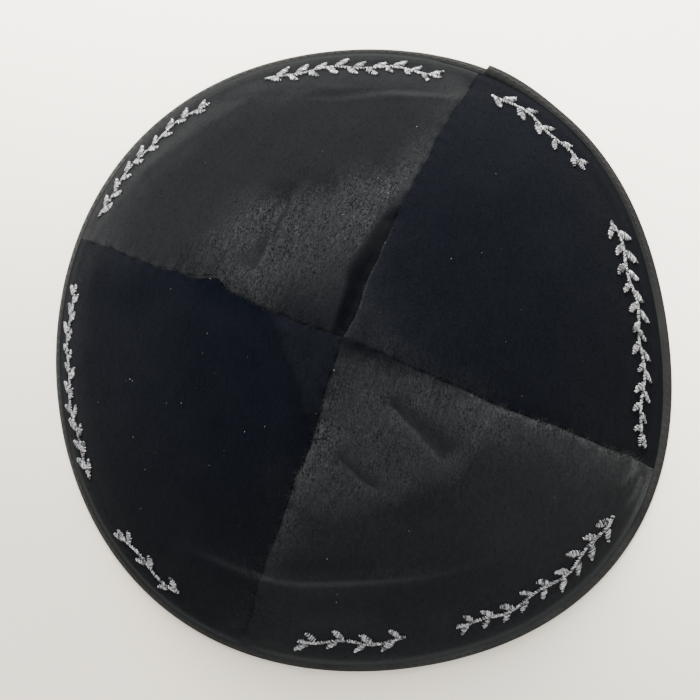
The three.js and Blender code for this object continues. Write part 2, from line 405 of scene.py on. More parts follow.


# Velvet panels: the tone paints sheen, highlights and shade into the pile's colour, from deep (0) to the
# bright sheen colour (1)
velvet = {
    "rows": 160, "columns": 140, "seamGap": 0.04, "squeezedTo": 1.0, "innerStep": 0.6,
    "allowanceRise": 0.5, "allowanceEnds": (6.6, 7.3), "fromTop": (0.02, 0.06), "fromRim": (0.01, 0.03),
    "deep": {"velvet_light": (0.0016, 0.0018, 0.0024), "velvet_dark": (0.0014, 0.00175, 0.0029)},
    # deep is the pile's own colour; bright is the painted sheen colour that the tone mixes in
    "bright": (0.0089, 0.0093, 0.0098), "toneRange": (-0.12, 3.2), "roughness": 0.78, "rougher": 0.14,
    "bump": 0.35, "bumpDepth": 0.00025,
    "grainScale": 2600, "grainStretch": (0.5, 1.0, 0.7), "grain": 4.6, "fineGrain": 0.16,
    "strandScale": 800, "strandStretch": (0.3, 1.3, 0.8), "strandTurn": 14, "strands": 2.4,
    "fineStrands": 0.1, "cloudScale": 95, "clouds": 0.14, "cloudsByTone": 0.1,
    "patchScale": 210, "patches": 2.6, "patchesLess": 0.3,
}
# Painted sheen and painted shade as a tone, and grit (how far the pile is roughed up), by distance from the
# crossing. The velvet_light and velvet_dark panels are one velvet: the back and front get painted sheen,
# brightest round the crossing
panels = table(
    "side node seam slot nap gloss at tone grit",
    ("Back", "panel_back", 0, "velvet_light", 82, 0.018,
     (0, 9, 16, 24, 34, 42, 47, 52, 72, 79, 84, 88, 92),
     (0.12, 0.24, 0.39, 0.59, 0.72, 0.57, 0.3, 0.2, 0.16, 0.36, 0.44, 0.24, 0.28),
     (0.2, 0.3, 0.4, 0.8, 1, 1, 0.7, 0.3, 0.15, 0.1, 0.1, 0.1, 0.1)),
    ("Left", "panel_left", 1, "velvet_dark", 95, 0.008,
     (0, 40, 60, 80, 86, 92),
     (0, 0.02, 0.1, 0.19, 0.32, 0.5),
     (0.2, 0.15, 0.1, 0.1, 0.1, 0.1)),
    ("Front", "panel_front", 2, "velvet_light", 85, 0.018,
     (0, 4, 9, 16, 25, 38, 42, 47, 67, 70, 78, 92),
     (0.22, 0.32, 0.56, 0.88, 1.06, 1.1, 0.95, 0.55, 0.49, 0.5, 0.58, 0.72),
     (0.4, 0.4, 0.5, 0.55, 0.55, 0.5, 0.4, 0.3, 0.15, 0.15, 0.15, 0.15)),
    ("Right", "panel_right", 3, "velvet_dark", 95, 0.008,
     (0, 10, 16, 22, 40, 60, 92),
     (0.32, 0.3, 0.18, 0.11, 0.07, 0.11, 0.18),
     (0.3, 0.3, 0.3, 0.3, 0.25, 0.15, 0.15)),
)
# Painted highlight along a seam where the lift is positive and painted shade where it is negative, from one
# distance from the crossing to another
seamGlows = table(
    "side seam reach near far lift",
    ("Front", 3, 10, 44, 98, 0.55), ("Front", 3, 1.5, 50, 104, 0.55), ("Front", 2, 4, 14, 40, -0.2),
    ("Front", 3, 3.2, 6, 41, -0.66), ("Front", 2, 6, 79, 96, -0.22), ("Front", 2, 6, 30, 70, 0.36),
    ("Back", 0, 6, 47, 90, 0.28), ("Back", 0, 2.2, 22, 48, -0.45), ("Back", 1, 3, 50, 99, 0.12),
    ("Back", 1, 8, 12, 58, -0.22), ("Left", 2, 9, 40, 110, 0.14), ("Right", 0, 0.55, 6, 38, 0.7),
    ("Right", 3, 5, 14, 50, 0.14), ("Right", 3, 9, 66, 110, 0.12),
)
# Painted shade where cloth is pushed under along a seam: how wide and how dark by distance from the crossing
tucks = table(
    "side seam at wide change",
    ("Back", 0, (0, 3, 8, 20, 30, 37, 50), (2.4, 3, 4.3, 5.5, 5.2, 3, 1),
        (-0.3, -0.45, -0.5, -0.55, -0.4, -0.28, 0)),
)
# Painted highlight on the pile that bulges over the tape: how strongly, how wide, and over which angles
rimGlows = table(
    "side lift halfWidth from to",
    ("Back", 0.8, 0.45, 60, 165),
    ("Front", 1.3, 0.75, 244, 346),
    ("Left", 1.3, 0.6, 190, 252),
)
# Painted shade and painted highlights: a line in plan, a half width and a change of tone (negative for
# shade)
shades = table(
    "side start end halfWidth change",
    ("Back", (17, 40), (22, 51), 4.5, 0.28),
    ("Back", (5, 36), (11, 42), 6, 0.1),
    ("Back", (-33, 29), (-25, 38), 6, 0.22),
    ("Back", (-17, 41), (-4, 42), 3.6, -0.2),
    ("Back", (-70, 38), (-40, 25), 13, 0.08),
    ("Back", (-76, 38), (-55, 60), 10, 0.13),
    ("Back", (-38, 75), (-20, 75), 1.8, -0.2),
    ("Front", (28, -27), (34, -31), 4, -0.12),
    ("Front", (-16, -61), (5, -61.5), 3.5, -0.14),
    ("Front", (14, -45), (26, -44), 4, -0.13),
    ("Left", (-75, 18), (-60, 16), 8, -0.1),
    ("Front", (-12, -77), (6, -76), 3, 0.14),
    ("Front", (46, -50), (72, -40), 14, 0.22),
    ("Front", (73, -41), (79, -38), 5, -0.2),
    ("Left", (-48, -62), (-26, -76), 9, 0.13),
    ("Left", (-20, 9), (-46, 20), 5, -0.1),
)
# Painted highlights on edges and folds: a path in plan with the lift of tone at each of its points; a
# negative lift paints a shade line
glints = table(
    "side halfWidth path",
    ("Back", 1, ((-16, 72.5, 0), (-6, 70.8, 0.25), (3, 71.4, 0.55), (12, 72.2, 0.6), (20, 71.8, 0.55),
        (30, 71.3, 0.3), (33, 71, 0))),
    ("Back", 0.9, ((-24, 78, 0), (-14, 76, -0.15), (-5, 74.2, -0.25), (8, 74, -0.2), (19, 74, -0.2),
        (29, 72.6, -0.15), (32, 72, 0))),
    ("Back", 2.2, ((-80, 40, 0), (-74, 45.5, 0.2), (-61.3, 55.3, 0.2), (-45, 68.4, 0.16), (-36, 73, 0))),
    ("Front", 0.75, ((-24, -63.8, 0.6), (-19, -65.2, 0.95), (-12, -65.8, 1.15), (0, -65.6, 1.1),
        (9, -65, 0.85), (17, -64.4, 0.5), (26, -63, 0.2), (36, -60, 0.06), (44, -57, 0))),
    ("Front", 2.2, ((-20, -66, 0), (-12, -67.5, 0.2), (-3, -67.6, 0.2), (12, -66.5, 0.06), (30, -63, 0))),
    ("Front", 0.6, ((-27, -82.6, 0.1), (-23, -82.9, 0.4), (-19, -82.7, 0.1))),
    ("Front", 0.9, ((78.6, -31.9, 1.8), (78.9, -34.4, 1.8), (76.9, -36.6, 1.3), (74.3, -39.2, 0))),
    ("Front", 0.8, ((80.3, -36.8, 1.7), (78.9, -41, 1.6), (75.9, -45.1, 0.2))),
    ("Front", 0.8, ((83.7, -34.5, 1.8), (82.3, -39.6, 1.8), (80.3, -43.8, 1.2), (78.3, -47, 0.3),
        (75, -53, 0.1))),
    ("Front", 0.6, ((64, -27, 0.25), (66, -30, 0.25), (67, -33, 0))),
    ("Left", 0.9, ((-44, -56, 0), (-36.6, -58.9, 0.28), (-28, -62.5, 0.45), (-23, -64.2, 0.55))),
)
# Cloth that dips on the right of its line, with painted shade on that side and a painted highlight on the
# ridge: how far and how dark the shade is at the start and at the end
creases = table(
    "side start end reach dark ridge",
    ("Front", (26.8, -32.2), (14.8, -20), (7, 2), (-0.42, -0.66), 0.34),
    ("Front", (8.2, -40.2), (0.7, -33.2), (2.2, 1.2), (-0.5, -0.5), 0.16),
    ("Back", (-18.1, 26.9), (-15, 37.4), (1.3, 1.2), (-0.62, -0.55), 0.35),
    ("Back", (-18, 27), (-21.5, 19), (3.2, 4.6), (-0.44, -0.36), 0.2),
)
creaseForm = {
    "sway": 0.4, "swaySize": 5, "shadeEdge": (-0.2, 0.25), "ridgeEdge": (-0.3, 0.3), "ridgeWidth": 0.9,
    "endFade": 1.6,
}
# A flat on the left of its line, which is a sharp edge, given a painted highlight
facets = table(
    "side start end change",
    ("Left", (-18, 8), (-7, -20), 0.1),
)
# Waver, fades and edges of the painted sheen, highlights and shade
lie = {
    "sway": 2.6, "swaySize": 11, "fineSway": 1.1, "fineSwaySize": 4,
    "glowFade": 12, "glowSway": 1.2, "glowReachPerSway": 6, "glowSwaySize": 7, "glowGrit": 0.35,
    "tuckSway": 0.12, "tuckSwaySize": 8, "tuckEdge": (0.72, 1.2), "tuckCalms": 0.8, "creaseCalms": 1.7,
    "facetSway": 0.8, "facetSwaySize": 6, "facetEdge": 0.6, "crestAboveTape": 1.1, "crestInset": 0.2,
    "toneRange": (-0.12, 3),
}


def own(rows, panel):
    return [row for row in rows if row["side"] == panel["side"]]


def glintTone(x, y, glint):
    nearest, lift = np.full_like(x, 1e3), np.zeros_like(x)
    for first, second in zip(glint["path"], glint["path"][1:]):
        t, away = alongLine(x, y, first[:2], second[:2])
        lift = np.where(away < nearest, first[2] * (1 - t) + second[2] * t, lift)
        nearest = np.minimum(nearest, away)
    return lift * bell(nearest, glint["halfWidth"])


def creaseTone(x, y, crease):
    along = np.subtract(crease["end"], crease["start"])
    length = np.hypot(*along)
    dx, dy = (x - crease["start"][0]) / length, (y - crease["start"][1]) / length
    t = (dx * along[0] + dy * along[1]) / length
    across = dx * along[1] - dy * along[0] + creaseForm["sway"] * softWaver(x, y, creaseForm["swaySize"])
    share = np.clip(t, 0, 1)
    reached, dark = (a + (b - a) * share for a, b in (crease["reach"], crease["dark"]))
    shaded = smoothStep(across, *creaseForm["shadeEdge"]) * bell(np.maximum(across, 0), reached)
    ridge = smoothStep(-across, *creaseForm["ridgeEdge"]) * bell(across, creaseForm["ridgeWidth"])
    ends = bell(np.maximum(0, np.maximum(-t, t - 1)) * length, creaseForm["endFade"])
    return ends * (dark * shaded + crease["ridge"] * ridge)


def facetTone(x, y, facet):
    start = facet["start"]
    along = np.subtract(facet["end"], start) / math.dist(start, facet["end"])
    inside = (y - start[1]) * along[0] - (x - start[0]) * along[1]
    inside = inside + lie["facetSway"] * softWaver(x, y, lie["facetSwaySize"])
    return facet["change"] * smoothStep(inside, -lie["facetEdge"], lie["facetEdge"])


def between(value, low, high):
    fade = lie["glowFade"]
    return smoothStep(value, low, low + fade) * (1 - smoothStep(value, high - fade, high))


# Painted sheen, painted highlights and painted shade for a panel, as a tone and a grit
def paintedSheenAndShade(panel, x, y):
    angle, distance, full, share = polar(x, y)
    warped = distance + lie["sway"] * softWaver(x, y, lie["swaySize"])
    warped = warped + lie["fineSway"] * softWaver(y, x, lie["fineSwaySize"])
    tone = np.interp(warped, panel["at"], panel["tone"])
    grit = np.interp(warped, panel["at"], panel["grit"])
    for glow in own(seamGlows, panel):
        sway = min(lie["glowSway"], glow["reach"] / lie["glowReachPerSway"])
        away = seamAway(angle, share, distance, [seams[glow["seam"]]])
        away = away + sway * softWaver(x, y, lie["glowSwaySize"])
        along = between(distance, glow["near"] - lie["glowFade"], glow["far"])
        # the seam's painted light and shade, by the sign of the lift
        seamLightAndShade = bell(away, glow["reach"]) * along
        tone = tone + glow["lift"] * seamLightAndShade
        grit = grit + lie["glowGrit"] * seamLightAndShade
    for tuck in own(tucks, panel):
        away = seamAway(angle, share, distance, [seams[tuck["seam"]]])
        wide = np.interp(distance, tuck["at"], tuck["wide"])
        wide = wide * (1 + lie["tuckSway"] * softWaver(x, y, lie["tuckSwaySize"]))
        # painted shade of the tuck
        under = 1 - smoothStep(away, *(wide * edge for edge in lie["tuckEdge"]))
        tone = tone + np.interp(distance, tuck["at"], tuck["change"]) * under
        grit = grit * (1 - lie["tuckCalms"] * under)
    # painted shade and painted highlights
    for shade in own(shades, panel):
        tone = tone + shade["change"] * nearLine(x, y, shade)
    # painted highlights along the paths
    for glint in own(glints, panel):
        tone = tone + glintTone(x, y, glint)
    # painted shade and ridge highlight of the crease
    for crease in own(creases, panel):
        dip = creaseTone(x, y, crease)
        tone = tone + dip
        grit = grit * (1 + lie["creaseCalms"] * np.minimum(dip, 0))
    # painted highlight on the flat
    for facet in own(facets, panel):
        tone = tone + facetTone(x, y, facet)
    crest = (tapeTop(angle) + lie["crestAboveTape"]) / np.tan(hemSlopeAt(angle)) - lie["crestInset"]
    # painted highlight along the bulge over the tape
    for glow in own(rimGlows, panel):
        ends = between(np.degrees(angle), glow["from"], glow["to"])
        tone = tone + glow["lift"] * ends * bell(full - distance - crest, glow["halfWidth"])
    return np.clip(tone, *lie["toneRange"]), np.clip(grit, 0, 1)


def panelPlan(panel, share, v):  # plan places at shares of the way to the rim and from seam to seam
    start, end = seams[panel["seam"]], seams[(panel["seam"] + 1) % len(seams)]
    turn = 0 if end["rimAngle"] > start["rimAngle"] else tau
    halfCorner = (math.radians(end["rimAngle"] - start["rimAngle"]) + turn) / 2
    bisector = math.radians(start["rimAngle"]) + halfCorner
    spread = velvet["seamGap"] / 2 / math.sin(halfCorner)
    angle = seamAngle(start, share) * (1 - v) + (seamAngle(end, share) + turn) * v
    distance = share * (reach(angle) - cap["openHeight"] / np.tan(hemSlopeAt(angle)))
    out = np.stack([np.cos(angle), np.sin(angle)], -1)
    away = spread * np.array([math.cos(bisector), math.sin(bisector)])
    push = away - out * ((out @ away) * share)[..., None]
    place = out * distance[..., None] + np.array(cap["crossing"]) + push
    return angle, place, push


def makeVelvetFinish(panel):
    finish = Finish("velvet" + panel["side"] + "Pile", {
        "Roughness": 0.86, "Specular IOR Level": panel["gloss"], "Sheen Weight": panel["gloss"],
        "Sheen Roughness": 0.5})
    grain = finish.noise(velvet["grainScale"], 1, 0.6, finish.turned(-panel["nap"], velvet["grainStretch"]))
    lean = velvet["strandTurn"] - panel["nap"]
    strands = finish.noise(velvet["strandScale"], 3, 0.6, finish.turned(lean, velvet["strandStretch"]))
    clouds = finish.noise(velvet["cloudScale"], 3, 0.55)
    patches = finish.noise(velvet["patchScale"], 2, 0.6) * velvet["patches"] - velvet["patchesLess"]
    # Painted sheen, highlights and shade, carried by the vertices
    tone = finish.fromVertices("paintedSheenAndShade")
    streak = ((grain - 0.5) * velvet["grain"] + (strands - 0.5) * velvet["strands"]) * patches
    lit = tone * (1 + streak * finish.fromVertices("pileGrit"))
    lit = lit + (clouds - 0.5) * (tone * velvet["cloudsByTone"] + velvet["clouds"])
    lit = lit + (grain - 0.5) * velvet["fineGrain"] + (strands - 0.5) * velvet["fineStrands"]
    lit = finish.clamp(lit, *velvet["toneRange"])
    finish.paint(lit, velvet["deep"][panel["slot"]], velvet["bright"])
    finish.feed("Roughness", velvet["roughness"] + clouds * velvet["rougher"])
    finish.bump(grain * 0.6 + strands * 0.9, velvet["bump"], velvet["bumpDepth"])
    return finish


backing = {"turn": 24, "threads": {"X": 380.0, "Y": 420.0}, "dark": (0.010, 0.010, 0.012),
           "light": (0.036, 0.037, 0.040), "bump": 0.4, "bumpDepth": 0.0002}


def makeBackingFinish():
    finish = Finish("velvetBacking", {"Specular IOR Level": 0.2, "Sheen Weight": 0.1})
    waves = []
    for axis, scale in backing["threads"].items():
        sockets = {"Vector": finish.turned(backing["turn"], (1, 1, 1)), "Scale": scale, "Distortion": 0.6,
                   "Detail": 1.0}
        settings = {"wave_type": "BANDS", "bands_direction": axis}
        waves.append(finish.add("ShaderNodeTexWave", settings, sockets, out="Fac"))
    weave = waves[0] * waves[1]
    worn = finish.noise(60, 3)
    finish.paint(weave * 0.6 + worn * 0.4, backing["dark"], backing["light"])
    finish.feed("Roughness", 0.85 + worn * 0.1)
    finish.bump(weave, backing["bump"], backing["bumpDepth"])
    return finish


def makePanel(panel, backingFinish):
    rows, columns = velvet["rows"], velvet["columns"]
    acrossPanel = (1 - np.cos(np.linspace(0, math.pi, columns + 1))) / 2
    share, v = np.meshgrid(np.linspace(0, 1, rows + 1), acrossPanel, indexing="ij")
    angle, place, push = panelPlan(panel, share, v)
    x, y = place[..., 0], place[..., 1]
    outer = onCap(x, y)
    polarAngle, distance, _, polarShare = polar(x, y)
    away = seamAway(polarAngle, polarShare, distance)
    flap = velvet["allowanceRise"] * (1 - smoothStep(away, *velvet["allowanceEnds"]))
    flap = flap * smoothStep(1 - share, *velvet["fromRim"]) * smoothStep(share, *velvet["fromTop"])
    thick = cap["clothThickness"]
    inner = outer - capNormal(x, y, velvet["innerStep"]) * (thick + flap)[..., None]

    # The hem bulges over the tape and goes down into it
    hem = angle[-1]
    top = tapeTop(hem)
    bulge = (cap["openHeight"] - top) / 3
    inTape = tape["thickness"] - tape["proud"] + tape["clearance"]
    within = inTape + velvet["squeezedTo"]
    foot = tape["thickness"] + tape["clearance"]
    hemRows = [
        (-0.16, top + 2 * bulge, thick), (-0.3, top + bulge, thick), (-0.3, top + 0.42, thick),
        (-0.12, top + 0.12, thick + 0.1), (inTape, top - 0.1, within), (inTape, foot, within),
    ]
    sideways = np.concatenate([push[-1], np.zeros((columns + 1, 1))], -1)
    for outerDepth, z, innerDepth in hemRows:
        outer = np.concatenate([outer, (rimPoint(hem, outerDepth, z) + sideways)[None]])
        inner = np.concatenate([inner, (rimPoint(hem, innerDepth, z) + sideways)[None]])

    count = rows + len(hemRows)
    ring = np.arange(count * (columns + 1)).reshape(count, columns + 1) + 1
    ids = np.concatenate([np.zeros((1, columns + 1), int), ring])
    half = 1 + ring.size
    points = np.concatenate([outer[0, :1], outer[1:].reshape(-1, 3), inner[0, :1], inner[1:].reshape(-1, 3)])
    a, b, c, d = ids[:-1, :-1], ids[1:, :-1], ids[1:, 1:], ids[:-1, 1:]
    outside = np.stack([a, b, c, d], -1).reshape(-1, 4)
    inside = np.stack([a, d, c, b], -1).reshape(-1, 4) + half
    # Quads at the crossing lose their doubled corner
    faces = [list(dict.fromkeys(quad)) for quad in outside.tolist() + inside.tolist()]
    for start, end in ((ids[1:, 0], ids[:-1, 0]), (ids[:-1, -1], ids[1:, -1]), (ids[-1, 1:], ids[-1, :-1])):
        faces += np.stack([start, end, end + half, start + half], -1).tolist()
    materialIndex = np.zeros(len(faces), int)
    materialIndex[len(outside):2 * len(outside)] = 1
    tone, grit = paintedSheenAndShade(panel, points[:, 0], points[:, 1])
    finish = makeVelvetFinish(panel)
    piece = addPiece("velvet" + panel["side"], points, faces, [finish, backingFinish],
                     [panel["node"]], {"paintedSheenAndShade": tone, "pileGrit": grit}, materialIndex)
    return piece, finish


# Pile: short hairs that lie over along the nap, and longer ones beside the seams of the light panels
pile = {
    "hairs": 15000, "length": (0.7, 1.3), "halfThick": 0.045, "sunk": 0.12, "scatter": 0.6,
    "rise": 0.42, "riseScatter": 0.16, "toneScatter": (-0.5, 0.9), "lighter": (0, 0.03),
    "brightShare": 0.04, "brightLift": 0.3, "fringe": 1500, "fringeLength": (0.9, 2.1),
    "fringeReach": 0.8, "fringeRise": 0.3, "fringeRiseScatter": 0.2, "fringeYaw": 1.35, "fringeScatter": 0.5,
}


def hairTufts(root, direction, normal, length):
    side = unit(np.cross(direction, normal))
    lift = np.cross(side, direction)
    sunk = root - normal * pile["sunk"]
    corners = [sunk + pile["halfThick"] * (math.cos(t) * side + math.sin(t) * lift) for t in (0.5, 2.6, 4.7)]
    tip = root + direction * length[:, None]
    return np.stack([*corners, tip], 1).reshape(-1, 3)


def tetraFaces(count):
    sides = np.array([[0, 1, 3], [1, 2, 3], [2, 0, 3], [0, 2, 1]])
    return (np.arange(count)[:, None, None] * 4 + sides).reshape(-1, 3).tolist()


def leaning(normal, yaw, rise):
    flat = np.stack([np.cos(yaw), np.sin(yaw), 0 * yaw], -1)
    flat = unit(flat - normal * (flat * normal).sum(-1, keepdims=True))
    return flat * np.cos(rise)[:, None] + normal * np.sin(rise)[:, None]


def makePile(panel, finish):
    hairs, fringe = pile["hairs"], pile["fringe"]
    share = np.sqrt(dice.uniform(0.0004, 0.998, hairs))
    v = dice.uniform(0.004, 0.996, hairs)
    place = panelPlan(panel, share, v)[1]
    length = dice.uniform(*pile["length"], hairs)
    yaw = math.radians(panel["nap"]) + dice.normal(0, pile["scatter"], hairs)
    rise = dice.normal(pile["rise"], pile["riseScatter"], hairs)
    if panel["slot"] == "velvet_light":
        edge = dice.integers(0, 2, fringe)
        edgeShare = dice.uniform(0.02, 0.97, fringe)
        quarter = cap["rimRadius"] * math.pi / 2
        inwards = dice.uniform(0, pile["fringeReach"], fringe) / (quarter * edgeShare + 0.5)
        edgeV = np.where(edge == 0, inwards, 1 - inwards)
        edgeAngle, edgePlace = panelPlan(panel, edgeShare, edgeV)[:2]
        turned = dice.normal(pile["fringeYaw"], pile["fringeScatter"], fringe)
        place = np.concatenate([place, edgePlace])
        length = np.concatenate([length, dice.uniform(*pile["fringeLength"], fringe)])
        yaw = np.concatenate([yaw, edgeAngle + np.where(edge == 0, -1, 1) * turned])
        rise = np.concatenate([rise, dice.normal(pile["fringeRise"], pile["fringeRiseScatter"], fringe)])
    x, y = place[:, 0], place[:, 1]
    normal = capNormal(x, y)
    points = hairTufts(onCap(x, y), leaning(normal, yaw, rise), normal, length)
    tone, grit = paintedSheenAndShade(panel, x, y)
    tone = tone * (1 + grit * dice.uniform(*pile["toneScatter"], len(x)))
    tone = tone + dice.uniform(*pile["lighter"], len(x))
    tone = tone + pile["brightLift"] * (dice.uniform(0, 1, len(x)) < pile["brightShare"])
    values = {"paintedSheenAndShade": np.repeat(tone, 4), "pileGrit": np.zeros(4 * len(x))}
    addPiece("pile" + panel["side"], points, tetraFaces(len(x)), [finish], values=values)


def makePanels():
    backingFinish = makeBackingFinish()
    for panel in panels:
        piece, finish = makePanel(panel, backingFinish)
        makePile(panel, finish)


makePanels()
print("velvet panels and pile done")


def lapRise(angle):
    behind = (math.radians(tape["lapEnd"]) - angle) % tau
    return tape["lapRise"] * (1 - smoothStep(behind, 0, math.radians(tape["lapLength"])))


def tapeSection(lap, top):  # depths under the cloth's outer face, and heights
    r, t = tape["round"], tape["thickness"]
    outer = -tape["proud"] - lap
    slitStart = t - tape["proud"]
    slitEnd = slitStart + tape["slit"]
    inner = slitEnd + t
    return [
        (outer + 1.3 * r, 0.0), (outer + 0.4 * r, 0.5 * r), (outer, 1.6 * r), (outer - 0.06, top * 0.42),
        (outer - 0.02, top * 0.68), (outer, top - 1.5 * r), (outer + 0.35 * r, top - 0.5 * r),
        (outer + 1.2 * r, top), (slitStart - 0.4 * r, top - 0.25 * r), (slitStart, top - 1.5 * r),
        (slitStart, t), (slitEnd, t), (slitEnd, top - 1.5 * r), (slitEnd + 0.4 * r, top - 0.25 * r),
        (inner - r, top), (inner - 0.3 * r, top - 0.6 * r), (inner, top * 0.6), (inner, 1.6 * r),
        (inner - 0.4 * r, 0.5 * r), (inner - 1.3 * r, 0.0),
    ]


tapeLook = {
    "ribPitch": 0.62, "ribSlant": 0.8, "cordPitch": 0.75, "dustScale": 900, "wearScale": 120,
    "ribs": 0.3, "cords": 0.14, "dust": 0.42, "wear": 0.2, "bump": 0.55, "bumpDepth": 0.00018,
    "dark": (0.0025, 0.0027, 0.0027), "light": (0.0125, 0.0128, 0.0122),
    # footShade and lowShade paint shade on the tape's foot and low side
    "footShade": 0.45, "lowShade": 0.8, "patches": 0.25, "patchSize": 9,
}


def makeTapeFinish():
    finish = Finish("wovenTape", {"Specular IOR Level": 0.06, "Sheen Weight": 0.02, "Sheen Roughness": 0.4})
    threadPlace = finish.fromVertices("threadPlace", "Vector")
    along = finish.add("ShaderNodeSeparateXYZ", None, {"Vector": threadPlace})
    across = along.other(1)
    ribs = ((along + across * tapeLook["ribSlant"]) * (tau / tapeLook["ribPitch"])).sine()
    cords = (across * (tau / tapeLook["cordPitch"])).sine()
    dust = finish.noise(tapeLook["dustScale"], 3, 0.6)
    wear = finish.noise(tapeLook["wearScale"], 2)
    tone = ribs * tapeLook["ribs"] + cords * tapeLook["cords"]
    tone = tone + dust * tapeLook["dust"] + wear * tapeLook["wear"]
    # The woven tone times the painted light and shade from the vertices
    finish.paint(tone * finish.fromVertices("tapeLightShadeAndPatches"), tapeLook["dark"], tapeLook["light"])
    finish.feed("Roughness", 0.72 + dust * 0.2)
    finish.bump(ribs * 0.7 + cords * 0.6 + dust * 0.3, tapeLook["bump"], tapeLook["bumpDepth"])
    return finish


def makeTape():
    stations = tape["stations"]
    step = math.radians(tape["lapStep"])
    angle = math.radians(tape["lapEnd"]) + np.linspace(step, tau - step, stations)
    lap = lapRise(angle % tau)
    lap[0] = 0
    along = np.cumsum(np.concatenate([[0], np.diff(angle) * reach((angle[1:] + angle[:-1]) / 2)]))
    pucker = tape["pucker"] * np.sin(along * tau / tape["stitchPitch"])
    section = tapeSection(lap, pucker + tapeTop(angle))
    rings = np.stack([rimPoint(angle, depth, z) for depth, z in section], 1)
    x, y, z = rings[:, :, 0], rings[:, :, 1], rings[:, :, 2]
    rings[:, :, 2] += tape["wobble"] * softWaver(x, y, tape["wobbleSize"]) * (z > tape["wobbleAbove"])
    sides = len(section)
    middles = [(float(np.mean(depth)), float(np.mean(z))) for depth, z in section]
    travel = np.cumsum([0] + [math.dist(a, b) for a, b in zip(middles, middles[1:])])
    threadPlace = [np.repeat(along, sides), np.tile(travel, stations), np.zeros(stations * sides)]
    # Painted shade on the tape's foot and low side, random patches, and painted light and shade round the
    # rim
    shade = np.ones((stations, sides))
    shade[:, :3] = tapeLook["footShade"]
    shade[:, 3] = tapeLook["lowShade"]
    shade += tapeLook["patches"] * softWaver(x, y, tapeLook["patchSize"])
    shade *= aroundRim(angle, tape["tones"])[:, None]
    ids = np.arange(stations * sides).reshape(stations, sides)
    nextRing, nextSide = np.roll(ids, -1, 0), np.roll(ids, -1, 1)
    quads = np.stack([ids, nextRing, np.roll(nextRing, -1, 1), nextSide], -1).reshape(-1, 4)
    piece = addPiece("wovenTape", rings.reshape(-1, 3), quads.tolist(), [makeTapeFinish()],
                     ["rim_binding"], {"threadPlace": np.stack(threadPlace, -1), "tapeLightShadeAndPatches": shade.ravel()})
    volume = sum(p.center.dot(p.normal) * p.area for p in piece.data.polygons)
    if volume < 0:
        piece.data.flip_normals()
    return piece, along[-1]


tapePiece, tapeLength = makeTape()


# Threads: thin arched tubes from sampled points, normals at the points, half width and half height
def threadTubes(path, normal, halfWide, halfHigh, sides=5):
    count, steps = path.shape[:2]
    least = 1e-9
    tangent = unit(np.gradient(path, axis=1), least)
    side = unit(np.cross(tangent, normal), least)
    lift = np.cross(side, tangent)
    turn = np.arange(sides) * tau / sides + 0.3
    ring = (path[:, :, None] + side[:, :, None] * (np.cos(turn)[:, None] * halfWide)
            + lift[:, :, None] * (np.sin(turn)[:, None] * halfHigh))
    base = (np.arange(count) * steps * sides)[:, None, None]
    ids = base + np.arange(steps * sides).reshape(steps, sides)
    a, b = ids[:, :-1], ids[:, 1:]
    quads = np.stack([a, np.roll(a, -1, 2), np.roll(b, -1, 2), b], -1).reshape(-1, 4).tolist()
    caps = ids[:, 0, ::-1].tolist() + ids[:, -1].tolist()
    return ring.reshape(-1, 3), quads + caps


def makeTapeStitches():
    finish = Finish("stitchThread", {"Specular IOR Level": 0.1})
    glint = finish.noise(2500, 1)
    finish.paint(glint, tape["stitchDark"], tape["stitchLight"])
    finish.feed("Roughness", 0.45 + glint * 0.25)
    count = int(tapeLength / tape["stitchPitch"])
    arch = np.array(tape["stitchArch"])
    middles = math.radians(tape["lapEnd"]) + (np.arange(count) + 0.5) / count * tau
    span = tape["stitchLength"] / cap["rimRadius"]
    angle = middles[:, None] + np.linspace(-0.5, 0.5, len(arch)) * span
    z = tapeTop(angle) - tape["stitchBelowTop"]
    innerFace = 2 * tape["thickness"] - tape["proud"] + tape["slit"]
    points, faces = [], []
    for depth in (-tape["proud"] - lapRise(angle % tau) - arch, innerFace + arch):
        path = rimPoint(angle, depth, z)
        facing = unit(rimPoint(angle, depth - 1.0, z) - path)
        ring, quads = threadTubes(path, facing, tape["stitchThick"], tape["stitchThick"])
        offset = len(ring) * len(points)
        points.append(ring)
        faces += [[k + offset for k in quad] for quad in quads]
    return addPiece("tapeStitches", np.concatenate(points), faces, [finish])


makeTapeStitches()
print("tape stitches done")


# Silver sprigs: leaves, stem and buds laid in satin stitch round the side wall
sprig = {
    "waver": 0.9, "waverLength": 19, "waverStart": 0.6, "stemHalfWidth": 0.56, "stemSlant": 1.0,
    "leafEvery": 5.2, "leafLength": 5.0, "leafHalfWidth": 1.12, "leafTurn": 50, "leafTurnLess": 6,
    "turnScatter": 9, "sizeScatter": (0.82, 1.16), "smallerBy": 0.25, "leafSlant": 1.25, "besideStem": 0.45,
    "tip": {"length": 3.4, "halfWidth": 0.85}, "bud": {"length": 1.8, "halfWidth": 0.6},
    "stitchPitch": 0.34, "halfThick": 0.18, "flatter": 0.8, "jitter": 0.13, "inset": 7,
    "along": (0, 0.16, 0.5, 0.84, 1.0), "rise": (-0.35, 0.55, 1.0, 0.55, -0.35), "arch": 0.36, "lift": 0.22,
    "liftScatter": 0.03, "sparkle": (1.6, 1.2), "dark": (0.02, 0.02, 0.021), "light": (0.34, 0.34, 0.35),
}
# Where each sprig starts and ends round the rim, in degrees, and how far it is above the tape
sprigs = table(
    "start end climb",
    (151.5, 121, 8), (109, 74, 8.6), (63, 39.5, 8.8), (27.5, -18.5, 8.4), (-33, -70.5, 8.6),
    (-81, -102.5, 8.8), (232.5, 215.5, 8.2), (204, 165.5, 7.8),
)
climbStep, climbTop = 0.25, 24.0
climbGrid = np.arange(0, climbTop + climbStep, climbStep)


